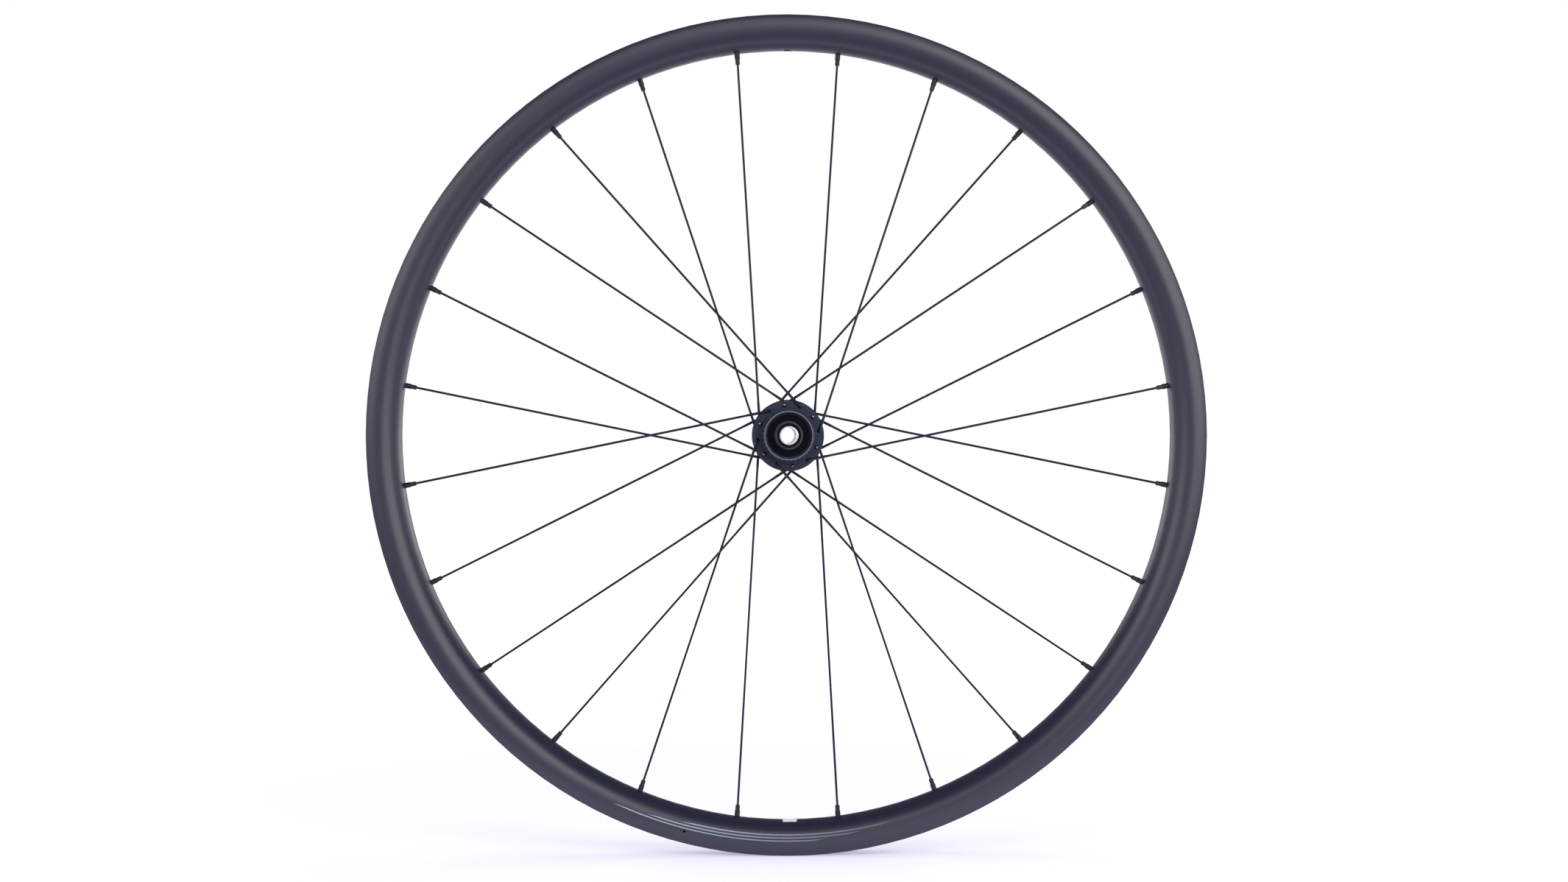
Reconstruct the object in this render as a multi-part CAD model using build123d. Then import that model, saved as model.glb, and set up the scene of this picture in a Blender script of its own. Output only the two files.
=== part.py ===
from build123d import *
import os
from collections import namedtuple
from math import cos, hypot, radians, sin, sqrt

# Front wheel of a disc-brake bicycle: hollow rim, hub and spokes laced two-cross.
# Millimetres. The origin is the wheel's centre, the axle lies along Y, the rotor side
# is -Y and +Z is up. Angles round the axle run clockwise from the top, seen from -Y.

# Rim
bead_seat_diameter = 622.0
bead_wall_height = 5.5
rim_depth = 25.8
rim_width = 30.0
tyre_channel_width = 24.0
widest_below_tip = 8.5
tip_thickness = 1.4
tip_round = 0.6
bed_crown_radius = 12.0
bed_width = 16.4
rim_wall = 1.6
bed_wall = 3.0
bead_shelf_width = 4.0
well_depth = 4.5
well_width = 10.6
hollow_floor_width = 9.0
hollow_side_flats = 3
valve_hole_diameter = 6.5
vent_hole_diameter = 2.0
vent_below_bead_seat = 3.7
vent_angle = 194.7

# Lacing
spoke_count = 24
crosses = 2
rim_hole_stagger = 1.5
crossing_gap = 0.2

# Spokes
butt_diameter = 2.0
body_diameter = 1.7
butt_length = 14.0
taper_length = 4.0
head_diameter = 3.7
head_height = 1.0
head_dome = 0.5
head_gap = 0.05
elbow_radius = 2.0
elbow_gap = 1.5
flange_edge_gap = 0.1

# Nipples
nipple_diameter = 4.0
nipple_head_diameter = 6.0
nipple_head_height = 2.0
nipple_seat_gap = 0.15
nipple_collar_length = 7.0
nipple_shank_length = 4.2
nipple_flats = 3.3
nipple_bore_depth = 8.5
nipple_hole_gap = 0.25
thread_gap = 0.02

# Hub shell
left_flange_offset = 24.0
right_flange_offset = 34.0
flange_diameter = 53.5
flange_thickness = 3.0
flange_chamfer = 0.6
hole_circle_diameter = 46.3
flange_hole_diameter = 2.5
flange_root_diameter = 40.0
waist_diameter = 29.0
waist_slope_length = 9.0
shell_bore_diameter = 26.0
collar_end = 43.5
collar_diameter = 38.6
collar_length = 9.0
collar_chamfer = 0.5
spline_count = 36
spline_groove_width = 1.6
rotor_shoulder_diameter = 41.2
rotor_shoulder_width = 3.0
collar_neck_diameter = 37.0
lockring_bore_diameter = 34.0
lockring_bore_depth = 8.0
right_boss_diameter = 38.0
right_boss_end = 42.0
boss_chamfer = 0.8
right_bearing_inset = 1.0

# Cartridge bearings
bearing_bore = 20.0
bearing_outside = 32.0
bearing_width = 7.0
inner_ring_wall = 1.6
outer_ring_wall = 1.6
seal_recess = 0.4
seal_gap = 0.3

# Axle
over_locknut_width = 100.0
axle_wall = 1.0
axle_shoulder_height = 1.3
thru_axle_bore = 12.1
bore_mouth_chamfer = 0.8
end_cap_diameter = 19.0
end_cap_chamfer = 0.6
end_cap_seat_diameter = 22.0
end_cap_plug_length = 10.0
shield_diameter = 31.0
shield_thickness = 1.0
shield_gap = 0.5
slip_gap = 0.02

# Places worked out from the sizes above
bead_radius = bead_seat_diameter / 2
tip_radius = bead_radius + bead_wall_height
bed_radius = tip_radius - rim_depth
hollow_radius = bed_radius + bed_wall
hole_circle_radius = hole_circle_diameter / 2
butt_radius = butt_diameter / 2
body_radius = body_diameter / 2
nipple_radius = nipple_diameter / 2
rim_pitch = 360 / spoke_count
lead_angle = 2 * crosses * rim_pitch
left_bearing_face = lockring_bore_depth - collar_end
left_bearing_back = left_bearing_face + bearing_width
right_bearing_face = right_boss_end - right_bearing_inset
right_bearing_back = right_bearing_face - bearing_width
end_face = over_locknut_width / 2


def around(radius, angle, y):
    """The point at a radius and an angle round the axle."""
    return Vector(radius * sin(radians(angle)), y, radius * cos(radians(angle)))


def both_sides(curves):
    """Curves of a rim section with their mirror images across the wheel's middle."""
    return list(curves) + [mirror(curve, about=Plane.XZ) for curve in curves]


def turned(*corners):
    """A solid of revolution about the axle, from (radius, y) corners."""
    return revolve(make_face(Polyline(*corners, close=True)), Axis.Y)


def rim_outline():
    """Section of the rim without its hollow: crowned spoke bed, convex sides, tyre channel."""
    bed_edge = bed_width / 2
    channel = tyre_channel_width / 2
    crown_drop = bed_crown_radius - sqrt(bed_crown_radius**2 - bed_edge**2)
    crease = (bed_radius + crown_drop, bed_edge)
    widest = (tip_radius - widest_below_tip, rim_width / 2)
    tip_outer = (tip_radius - tip_round, channel + tip_thickness)
    tip_middle = (tip_radius, channel + tip_thickness / 2)
    tip_inner = (tip_radius - tip_round, channel)
    shelf_outer = (bead_radius, channel)
    shelf_inner = (bead_radius, channel - bead_shelf_width)
    well = (bead_radius - well_depth, well_width / 2)
    side = [
        TangentArc(widest, crease, tangent=(-1, 0)),
        TangentArc(widest, tip_outer, tangent=(1, 0)),
        ThreePointArc(tip_outer, tip_middle, tip_inner),
        Polyline(tip_inner, shelf_outer, shelf_inner, well),
    ]
    bed = ThreePointArc((crease[0], -bed_edge), (bed_radius, 0), crease)
    well_floor = Line(well, (well[0], -well[1]))
    return make_face(both_sides(side) + [bed, well_floor])


def rim_hollow():
    """Section of the closed hollow between the spoke bed and the tyre bed."""
    shelf_edge = tyre_channel_width / 2 - bead_shelf_width
    slope_run = shelf_edge - well_width / 2
    corner_shift = rim_wall * (hypot(well_depth, slope_run) - slope_run) / well_depth
    side = rim_width / 2 - rim_wall
    floor_edge = (hollow_radius, hollow_floor_width / 2)
    side_low = (tip_radius - widest_below_tip, side)
    side_high = (bead_radius - rim_wall, side)
    shelf = (bead_radius - rim_wall, shelf_edge + corner_shift)
    well = (bead_radius - well_depth - rim_wall, well_width / 2 + corner_shift)
    curve = TangentArc(side_low, floor_edge, tangent=(-1, 0))
    flats = [curve @ (i / hollow_side_flats) for i in range(hollow_side_flats + 1)]
    half = [Polyline(*flats), Polyline(side_low, side_high, shelf, well)]
    floor = Line(floor_edge, (hollow_radius, -floor_edge[1]))
    ceiling = Line(well, (well[0], -well[1]))
    return make_face(both_sides(half) + [floor, ceiling])


# The course of one kind of spoke: its flange's middle, the way from there to its head,
# and its elbow, last crossing, nipple seat and direction at the rim.
Run = namedtuple("Run", "flange_y head_way elbow crossing seat inward")


def spoke_run(place):
    """Course of the spoke in one of the four places that repeat round the rim."""
    side = 1 if place % 2 == 0 else -1
    elbow_out = place < 2
    turn = 1 if elbow_out else -1
    flange = right_flange_offset if side > 0 else left_flange_offset
    rim_angle = rim_pitch * (place + 0.5)
    hole_angle = rim_angle + turn * lead_angle
    cross_angle = rim_angle + turn * rim_pitch

    # Plan view of the spoke and the one that it crosses last, mirrored about the crossing
    hub_spread = radians(lead_angle - rim_pitch)
    hub_across = hole_circle_radius * sin(hub_spread)
    hub_along = hole_circle_radius * cos(hub_spread)
    rim_across = hollow_radius * sin(radians(rim_pitch))
    rim_along = hollow_radius * cos(radians(rim_pitch))
    cross_share = hub_across / (hub_across + rim_across)
    cross_radius = hub_along + cross_share * (rim_along - hub_along)

    # The elbow-out spoke passes inside the elbow-in one, so the two are interlaced
    cross_middle = flange * (1 - cross_share) + rim_hole_stagger * cross_share
    cross_y = cross_middle - turn * (body_diameter + crossing_gap) / 2
    stand_off = flange_thickness / 2 + butt_radius + elbow_gap
    if elbow_out:
        plan_length = hypot(hub_across + rim_across, rim_along - hub_along)
        line_radius = (hub_across * rim_along + hub_along * rim_across) / plan_length
        to_hole = sqrt(hole_circle_radius**2 - line_radius**2)
        to_edge = sqrt((flange_diameter / 2) ** 2 - line_radius**2) - to_hole
        edge_share = to_edge / (cross_share * plan_length)
        edge_height = flange_thickness / 2 + butt_radius + flange_edge_gap
        over_edge = (edge_height + edge_share * (flange - cross_y)) / (1 - edge_share)
        stand_off = max(stand_off, over_edge)
    elbow = around(hole_circle_radius, hole_angle, side * (flange + turn * stand_off))
    crossing = around(cross_radius, cross_angle, side * cross_y)
    seat = around(hollow_radius, rim_angle, side * rim_hole_stagger)
    inward = (crossing - seat).normalized()
    return Run(side * flange, -side * turn, elbow, crossing, seat, inward)


def wire(radius, path):
    """Round wire along a path, with mitred corners."""
    start = Plane(origin=path @ 0, z_dir=path % 0)
    return sweep(start * Circle(radius), path=path, transition=Transition.RIGHT)


def cone(start, end, start_radius, end_radius):
    """Cone frustum from one point to another."""
    plane = Plane(origin=start, z_dir=end - start)
    length = (end - start).length
    low = (Align.CENTER, Align.CENTER, Align.MIN)
    return plane * Cone(start_radius, end_radius, length, align=low)


def spoke_head(way):
    """Conical spoke head with a low dome, pointing along Y to the side that way gives."""
    edge = (head_diameter / 2, way * head_height)
    top = (0, way * (head_height + head_dome))
    flank = Polyline(top, (0, 0), (butt_radius, 0), edge)
    return revolve(make_face([flank, TangentArc(top, edge, tangent=(1, 0))]), Axis.Y)


def spoke(run):
    """One spoke: head, elbow and thick butt at the hub, taper, and thin body into its nipple."""
    way = (run.crossing - run.elbow).normalized()
    head_y = run.flange_y + run.head_way * (flange_thickness / 2 + head_gap)
    head = Vector(run.elbow.X, head_y, run.elbow.Z)
    butt_end = run.elbow + way * butt_length
    body_start = butt_end + way * taper_length
    nipple_length = nipple_collar_length + nipple_shank_length
    tip = run.seat + run.inward * (nipple_length - nipple_bore_depth)
    shape = wire(butt_radius, FilletPolyline(head, run.elbow, butt_end, radius=elbow_radius))
    shape += Pos(*head) * spoke_head(run.head_way)
    shape += cone(butt_end, body_start, butt_radius, body_radius)
    shape += wire(body_radius, Polyline(body_start, run.crossing, tip))
    return shape


def nipple(run):
    """One nipple on its spoke's line: conical head in the hollow, collar and square shank."""
    low = (Align.CENTER, Align.CENTER, Align.MIN)
    high = (Align.CENTER, Align.CENTER, Align.MAX)
    length = nipple_collar_length + nipple_shank_length
    head_height = nipple_head_height - nipple_seat_gap
    shape = Pos(0, 0, -nipple_seat_gap) * Cone(
        nipple_head_diameter / 2, nipple_radius, head_height, align=high
    )
    collar_height = nipple_collar_length + nipple_seat_gap
    shape += Pos(0, 0, -nipple_seat_gap) * Cylinder(nipple_radius, collar_height, align=low)
    flats = Rectangle(nipple_flats, nipple_flats) & Circle(nipple_radius)
    shape += extrude(Pos(0, 0, nipple_collar_length) * flats, nipple_shank_length)
    bore = Cylinder(body_radius + thread_gap, nipple_bore_depth, align=high)
    shape -= Pos(0, 0, length) * bore
    return Plane(origin=run.seat, z_dir=run.inward) * shape


def nipple_hole(run):
    """Drilling through the spoke bed on a spoke's line."""
    drill = Cylinder(nipple_radius + nipple_hole_gap, 4 * bed_wall)
    return Plane(origin=run.seat, z_dir=run.inward) * drill


def rim(nipple_holes):
    """The rim: hollow section turned about the axle, then drilled."""
    shape = revolve(rim_outline() - rim_hollow(), Axis.Y)
    valve_drill = Cylinder(valve_hole_diameter / 2, rim_depth)
    valve_drill = Pos(0, 0, (bed_radius + bead_radius) / 2) * valve_drill
    vent_drill = Rot(90, 0, 0) * Cylinder(vent_hole_diameter / 2, 3 * rim_wall)
    vent_radius = bead_radius - vent_below_bead_seat
    vent_drill = Pos(*around(vent_radius, vent_angle, -rim_width / 2)) * vent_drill
    return shape - nipple_holes - valve_drill - vent_drill


def flange_drills(offset, first_angle):
    """Drills for the spoke holes of one flange."""
    pitch = 2 * rim_pitch
    drill = Rot(90, 0, 0) * Cylinder(flange_hole_diameter / 2, 2 * flange_thickness)
    places = [around(hole_circle_radius, first_angle + i * pitch, offset) for i in range(spoke_count // 2)]
    return [Pos(*place) * drill for place in places]


def hub_shell():
    """The turned shell with its flanges, splined rotor collar and bearing seats."""
    flange = flange_diameter / 2
    half = flange_thickness / 2
    root = flange_root_diameter / 2
    waist = waist_diameter / 2
    bore = shell_bore_diameter / 2
    seat = bearing_outside / 2
    lockring = lockring_bore_diameter / 2
    collar = collar_diameter / 2
    shoulder = rotor_shoulder_diameter / 2
    neck = collar_neck_diameter / 2
    boss = right_boss_diameter / 2
    shoulder_start = collar_length - collar_end
    shoulder_end = shoulder_start + rotor_shoulder_width
    left_outer = -left_flange_offset - half
    left_inner = -left_flange_offset + half
    right_inner = right_flange_offset - half
    right_outer = right_flange_offset + half
    waist_left = (waist, left_inner + waist_slope_length)
    waist_right = (waist, right_inner - waist_slope_length)
    outside_left = Polyline(
        (lockring, left_bearing_face),
        (lockring, collar_chamfer - collar_end),
        (lockring + collar_chamfer, -collar_end),
        (collar - collar_chamfer, -collar_end),
        (collar, collar_chamfer - collar_end),
        (collar, shoulder_start),
        (shoulder, shoulder_start),
        (shoulder, shoulder_end),
        (neck, shoulder_end),
        (neck, left_outer),
        (flange - flange_chamfer, left_outer),
        (flange, left_outer + flange_chamfer),
        (flange, left_inner - flange_chamfer),
        (flange - flange_chamfer, left_inner),
        (root, left_inner),
    )
    body = [
        TangentArc(waist_left, (root, left_inner), tangent=(0, -1)),
        Line(waist_left, waist_right),
        TangentArc(waist_right, (root, right_inner), tangent=(0, 1)),
    ]
    outside_right = Polyline(
        (root, right_inner),
        (flange - flange_chamfer, right_inner),
        (flange, right_inner + flange_chamfer),
        (flange, right_outer - flange_chamfer),
        (flange - flange_chamfer, right_outer),
        (boss, right_outer),
        (boss, right_boss_end - boss_chamfer),
        (boss - boss_chamfer, right_boss_end),
        (seat, right_boss_end),
    )
    inside = Polyline(
        (seat, right_boss_end),
        (seat, right_bearing_back),
        (bore, right_bearing_back),
        (bore, left_bearing_back),
        (seat, left_bearing_back),
        (seat, left_bearing_face),
        (lockring, left_bearing_face),
    )
    shape = revolve(make_face([outside_left, *body, outside_right, inside]), Axis.Y)
    groove = Rectangle(spline_groove_width, spline_groove_width, rotation=45)
    grooves = Sketch() + PolarLocations(collar, spline_count) * groove
    splines = extrude(Plane.XZ.offset(-shoulder_start) * grooves, collar_length)
    drills = flange_drills(-left_flange_offset, rim_pitch * 1.5)
    drills += flange_drills(right_flange_offset, rim_pitch / 2)
    return shape - splines - drills


def bearing_outer(face, back):
    """Outer ring of a cartridge bearing with its two recessed seals, between two end planes."""
    outside = bearing_outside / 2 - slip_gap
    land = bearing_outside / 2 - outer_ring_wall
    lip = bearing_bore / 2 + inner_ring_wall + seal_gap
    low = min(face, back)
    high = max(face, back)
    return turned(
        (outside, low),
        (land, low),
        (land, low + seal_recess),
        (lip, low + seal_recess),
        (lip, high - seal_recess),
        (land, high - seal_recess),
        (land, high),
        (outside, high),
    )


def bearing_inner(face, back):
    """Inner ring of a cartridge bearing between two end planes."""
    inside = bearing_bore / 2
    outside = inside + inner_ring_wall
    return turned((inside, face), (outside, face), (outside, back), (inside, back))


def axle_tube():
    """Tube through both bearings, with a shoulder that spaces the inner rings."""
    inside = bearing_bore / 2 - axle_wall
    journal = bearing_bore / 2 - slip_gap
    shoulder = bearing_bore / 2 + axle_shoulder_height
    return turned(
        (inside, left_bearing_face),
        (journal, left_bearing_face),
        (journal, left_bearing_back),
        (shoulder, left_bearing_back),
        (shoulder, right_bearing_back),
        (journal, right_bearing_back),
        (journal, right_bearing_face),
        (inside, right_bearing_face),
    )


def end_cap(way, bearing_face):
    """End cap with the thru-axle bore, a shield over its bearing and a plug for the axle tube.

    The way is -1 on the left and 1 on the right.
    """
    bore = thru_axle_bore / 2
    outside = end_cap_diameter / 2
    seat = end_cap_seat_diameter / 2
    plug = bearing_bore / 2 - axle_wall - slip_gap
    end = way * end_face
    shield = shield_diameter / 2
    shield_inner = bearing_face + way * shield_gap
    shield_outer = shield_inner + way * shield_thickness
    return turned(
        (bore, end - way * bore_mouth_chamfer),
        (bore + bore_mouth_chamfer, end),
        (outside - end_cap_chamfer, end),
        (outside, end - way * end_cap_chamfer),
        (outside, shield_outer),
        (shield, shield_outer),
        (shield, shield_inner),
        (seat, shield_inner),
        (seat, bearing_face),
        (plug, bearing_face),
        (plug, bearing_face - way * end_cap_plug_length),
        (bore, bearing_face - way * end_cap_plug_length),
    )


def round_the_rim(shapes):
    """Copies of the four kinds of a piece in their places, in order round the rim."""
    turn = 4 * rim_pitch
    return [Rot(0, turn * (i // 4), 0) * shapes[i % 4] for i in range(spoke_count)]


runs = [spoke_run(place) for place in range(4)]
spokes = round_the_rim([spoke(run) for run in runs])
nipples = round_the_rim([nipple(run) for run in runs])
nipple_holes = round_the_rim([nipple_hole(run) for run in runs])

parts = {
    "rim": rim(nipple_holes),
    "spoke_nipples": Compound(children=nipples),
    "hub_shell": hub_shell(),
    "bearing_left_outer": bearing_outer(left_bearing_face, left_bearing_back),
    "bearing_right_outer": bearing_outer(right_bearing_face, right_bearing_back),
    "bearing_left_inner": bearing_inner(left_bearing_face, left_bearing_back),
    "bearing_right_inner": bearing_inner(right_bearing_face, right_bearing_back),
    "axle_tube": axle_tube(),
    "end_cap_left": end_cap(-1, left_bearing_face),
    "end_cap_right": end_cap(1, right_bearing_face),
}
for number, shape in enumerate(spokes, start=1):
    parts[f"spoke_{number:02d}"] = shape

os.makedirs("parts", exist_ok=True)
for name, shape in parts.items():
    export_step(shape, f"parts/{name}.step")
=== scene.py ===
from math import radians

import bpy
from mathutils import Euler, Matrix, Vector


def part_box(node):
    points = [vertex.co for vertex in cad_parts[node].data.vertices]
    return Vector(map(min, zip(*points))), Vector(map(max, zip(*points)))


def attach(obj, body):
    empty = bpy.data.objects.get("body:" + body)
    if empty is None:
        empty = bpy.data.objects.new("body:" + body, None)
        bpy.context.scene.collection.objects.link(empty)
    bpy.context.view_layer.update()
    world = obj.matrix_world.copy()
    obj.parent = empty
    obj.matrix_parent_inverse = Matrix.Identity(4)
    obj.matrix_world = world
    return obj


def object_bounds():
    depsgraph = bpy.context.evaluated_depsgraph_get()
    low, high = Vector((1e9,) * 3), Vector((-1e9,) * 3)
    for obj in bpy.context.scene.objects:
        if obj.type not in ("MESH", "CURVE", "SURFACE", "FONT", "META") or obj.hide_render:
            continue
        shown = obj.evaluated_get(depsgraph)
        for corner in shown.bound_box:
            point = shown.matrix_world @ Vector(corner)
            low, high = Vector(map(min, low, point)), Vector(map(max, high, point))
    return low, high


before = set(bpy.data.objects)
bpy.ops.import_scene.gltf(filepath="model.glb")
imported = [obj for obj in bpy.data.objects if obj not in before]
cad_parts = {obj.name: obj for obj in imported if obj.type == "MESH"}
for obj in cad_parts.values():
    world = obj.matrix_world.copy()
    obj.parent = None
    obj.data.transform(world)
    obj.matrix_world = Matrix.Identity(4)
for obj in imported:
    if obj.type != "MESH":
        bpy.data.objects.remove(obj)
cad_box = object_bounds()

bl_info = {
    "name": "Bicycle Wheel",
    "version": (1, 0, 0),
    "blender": (4, 5, 0),
    "location": "View3D > Sidebar > Wheel",
    "description": "Finishes, small pieces and stage for a spoked front wheel",
    "category": "Object",
}

MM = 0.001
SPOKES = sorted(
    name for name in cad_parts
    if name.startswith("spoke_") and name != "spoke_nipples")

# Rim: each side is two arcs that meet where it is widest, between the bed and the tip
RIM_LOW, RIM_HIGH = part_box("rim")
RIM_RADIUS = RIM_HIGH.z
WIDEST_RADIUS = RIM_RADIUS - 8.5 * MM
BED_ARC = 17.94 * MM
TIP_ARC = 20.3 * MM
BED_EDGE_RADIUS = RIM_RADIUS - 22.5 * MM
TIP_EDGE_RADIUS = RIM_RADIUS - 0.65 * MM
# A facet belongs to the side if its normal and that of the arcs have at least this cosine
SIDE_FACING = 0.8

# Laminate: fibre bundles are this many times longer round the rim than across it
BUNDLE_STRETCH = 12
LACQUER_GRAIN = 0.35 * MM
LACQUER_PEEL = 0.02 * MM
LACQUER_IOR = 1.57
ROUGHNESS_SPREAD = 0.04

# Pin lines: their number, and how their ends lean, in radians for a metre of radius
PIN_LINES = 3
PIN_LINE_LEAN = 40.0

# Label: a grid of cells made this far above the bottom of the rim and dropped on to the bed
LABEL_DROP = 40 * MM
LABEL_CELLS = 24
LABEL_CREASE = radians(40)
LABEL_MOTTLE = 1.2 * MM

# Flanges: their middle plane, and the distance from it to their outer faces
FLANGE_MIDDLE = 5 * MM
FLANGE_FACE = 30.5 * MM

# Spokes: the tips of outer heads go from black to a painted highlight between these distances from
# the middle plane
HEAD_BLACK = FLANGE_FACE + 1.42 * MM
HEAD_FULL_HIGHLIGHT = FLANGE_FACE + 1.54 * MM
WIRE_METALLIC = 0.3
WIRE_SPECULAR = 0.3
WIRE_BLOTCH = 4 * MM

# Rotor collar: a painted highlight lightens the lip at its end towards the colour of uncoated metal
COLLAR_END = -43.5 * MM
COLLAR_HIGHLIGHT_DEPTH = 0.6 * MM
LIP_RADIUS = 18.0 * MM
LIP_EDGE_RADIUS = 18.5 * MM
LIP_HIGHLIGHT = 0.16

# End caps: a faint painted highlight along a ring on the face, and uncoated metal in the bore and
# on the plug's end
CAP_RING_RADIUS = 9.8 * MM
CAP_RING_CORE = 0.5 * MM
CAP_RING_EDGE = 1.0 * MM
CAP_RING_HIGHLIGHT = 0.08
CAP_MOUTH_RADIUS = 6.9 * MM
CAP_PLUG_END = 34 * MM
CAP_METALLIC = 0.9
BORE_ROUGHNESS = 0.08

# Other turned metal and the bearings
ANODISED_METALLIC = 0.35
ANODISED_DUST = 3 * MM
TURNING_DEPTH = 0.03 * MM
AXLE_TURNING_PITCH = 0.4 * MM
AXLE_HAZE = 2 * MM
SEAL_RADIUS = 14.35 * MM
SEAL_SPECULAR = 0.25
BEARING_GRIT = 0.4 * MM

# Floor as the camera sees it: its own glow grows from near the wheel to white further off; near the
# wheel it is dimmer and lilac, a painted tint for the wheel's shadow
FLOOR_RADIUS = 6.0
FLOOR_SIDES = 96
FLOOR_ROUGHNESS = 0.9
GLOW_NEAR_DISTANCE = 0.6
GLOW_FAR_DISTANCE = 1.6
GLOW_NEAR = 0.46
# Floor as the wheel mirrors it, a painted reflection: dim far in front of the wheel, and brighter
# than white close in front
SHEET_DIM_Y = -0.5
SHEET_FULL_Y = -0.12
SHEET_DIM = 0.22
STRIP_EDGE = 0.05
STRIP_BRIGHT = 1.75

# Room: white walls that dim towards the ceiling between these heights of a unit direction.
# ROOM_LIGHT is its strength for rays that only light a surface
WALL_LOW = 0.18
WALL_HIGH = 0.42
CEILING_LIGHT = 0.2
ROOM_LIGHT = 0.8

# Lamps: width and height, and place, in metres; each faces the wheel's centre
LAMPS = {
    "key": ((1.7, 1.4), (1.1, -1.8, 0.5)),
    "fill": ((1.3, 1.3), (-1.45, -1.65, 0.7)),
    "front": ((2.0, 1.1), (0.25, -2.0, 1.4)),
    "right_edge": ((1.8, 1.1), (1.7, 0.85, 0.4)),
    "left_edge": ((1.8, 1.1), (-1.7, 0.85, 0.35)),
    "top": ((2.4, 2.4), (0.1, 0.1, 2.2)),
}
# Width of the camera's sensor, in millimetres
SENSOR_WIDTH = 36


def linear(hex_colour):
    """Linear RGB of an sRGB hex value."""
    channels = [int(hex_colour[i:i + 2], 16) / 255 for i in (1, 3, 5)]
    return [c / 12.92 if c <= 0.04045 else ((c + 0.055) / 1.055) ** 2.4 for c in channels]


class RimFinish(bpy.types.PropertyGroup):
    """Colours and sizes of the rim's laminate, its graphic and its label."""
    laminate: bpy.props.FloatVectorProperty(
        name="Laminate", description="Colour of the rim's satin laminate",
        subtype="COLOR", min=0, max=1, default=linear("#1d1f38"))
    laminate_dark: bpy.props.FloatVectorProperty(
        name="Laminate Shade", description="Darker colour of the fibre bundles in the laminate",
        subtype="COLOR", min=0, max=1, default=linear("#16182d"))
    roughness: bpy.props.FloatProperty(
        name="Roughness", description="Roughness of the satin lacquer",
        subtype="FACTOR", min=0, max=1, default=0.33)
    fibre_width: bpy.props.FloatProperty(
        name="Fibre Width", description="Width of a fibre bundle across the rim",
        unit="LENGTH", default=0.9 * MM)
    line_colour: bpy.props.FloatVectorProperty(
        name="Pin Lines", description="Colour of the pin lines on the rotor side",
        subtype="COLOR", min=0, max=1, default=linear("#9aa3b8"))
    line_radius: bpy.props.FloatProperty(
        name="Pin Line Radius", description="Distance of the innermost pin line from the axle",
        unit="LENGTH", default=300.6 * MM)
    line_pitch: bpy.props.FloatProperty(
        name="Pin Line Pitch", description="Distance from one pin line to the next",
        unit="LENGTH", default=2.2 * MM)
    line_width: bpy.props.FloatProperty(
        name="Pin Line Width", description="Width of a pin line",
        unit="LENGTH", default=0.8 * MM)
    line_reach: bpy.props.FloatProperty(
        name="Pin Line Reach",
        description="Angle that the pin lines reach to each side of the bottom",
        subtype="ANGLE", default=radians(14.5))
    label_colour: bpy.props.FloatVectorProperty(
        name="Label", description="Colour of the blank label on the spoke bed",
        subtype="COLOR", min=0, max=1, default=linear("#f2f1f4"))
    label_shade: bpy.props.FloatVectorProperty(
        name="Label Shade", description="Darker colour of the mottle in the label's paper",
        subtype="COLOR", min=0, max=1, default=linear("#dadade"))
    label_width: bpy.props.FloatProperty(
        name="Label Width", description="Width of the label round the rim",
        unit="LENGTH", default=10.5 * MM)
    label_length: bpy.props.FloatProperty(
        name="Label Length", description="Length of the label across the rim",
        unit="LENGTH", default=9.6 * MM)
    label_shift: bpy.props.FloatProperty(
        name="Label Shift",
        description="Distance of the label's middle from the bottom of the wheel",
        unit="LENGTH", default=1.6 * MM)
    label_offset: bpy.props.FloatProperty(
        name="Label Offset", description="Distance of the label's middle from the rim's middle",
        unit="LENGTH", default=-0.6 * MM)
    label_thickness: bpy.props.FloatProperty(
        name="Label Thickness", description="Thickness of the label",
        unit="LENGTH", default=0.12 * MM)


class MetalFinish(bpy.types.PropertyGroup):
    """Colours of the spokes, nipples, hub, bearings and axle."""
    spoke: bpy.props.FloatVectorProperty(
        name="Spokes", description="Colour of the blackened spoke wire",
        subtype="COLOR", min=0, max=1, default=linear("#18172e"))
    # Painted highlight: this light colour on the tips of the outer spoke heads stands in for the
    # glint on their domes
    head: bpy.props.FloatVectorProperty(
        name="Spoke Heads", description="Colour of the bare steel where spoke heads are rubbed",
        subtype="COLOR", min=0, max=1, default=linear("#8c8d97"))
    nipple: bpy.props.FloatVectorProperty(
        name="Nipples", description="Colour of the anodised nipples",
        subtype="COLOR", min=0, max=1, default=linear("#17171f"))
    shell: bpy.props.FloatVectorProperty(
        name="Hub Shell", description="Colour of the anodised hub shell",
        subtype="COLOR", min=0, max=1, default=linear("#1a213b"))
    seal: bpy.props.FloatVectorProperty(
        name="Seals", description="Colour of the bearings' rubber seals",
        subtype="COLOR", min=0, max=1, default=linear("#06070d"))
    # Painted shade: the bearing steel is given a dark colour, as the bearings sit in shade inside
    # the hub
    steel: bpy.props.FloatVectorProperty(
        name="Bearing Steel", description="Colour of the ground bearing rings",
        subtype="COLOR", min=0, max=1, default=linear("#1d1e25"))
    axle: bpy.props.FloatVectorProperty(
        name="Axle Tube", description="Colour of the bare axle tube",
        subtype="COLOR", min=0, max=1, default=linear("#b4b5ba"))
    cap: bpy.props.FloatVectorProperty(
        name="End Caps", description="Colour of the anodised end caps",
        subtype="COLOR", min=0, max=1, default=linear("#070a16"))
    # Also the colour of the painted highlights on the collar's lip and along a ring on each end
    # cap's face
    bare_and_highlight: bpy.props.FloatVectorProperty(
        name="Worn Metal", description="Colour of bare aluminium where the anodising has worn off",
        subtype="COLOR", min=0, max=1, default=linear("#e9eaee"))
    turning_pitch: bpy.props.FloatProperty(
        name="Turning Pitch", description="Distance between the turning marks of the hub",
        unit="LENGTH", default=0.5 * MM)


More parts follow.
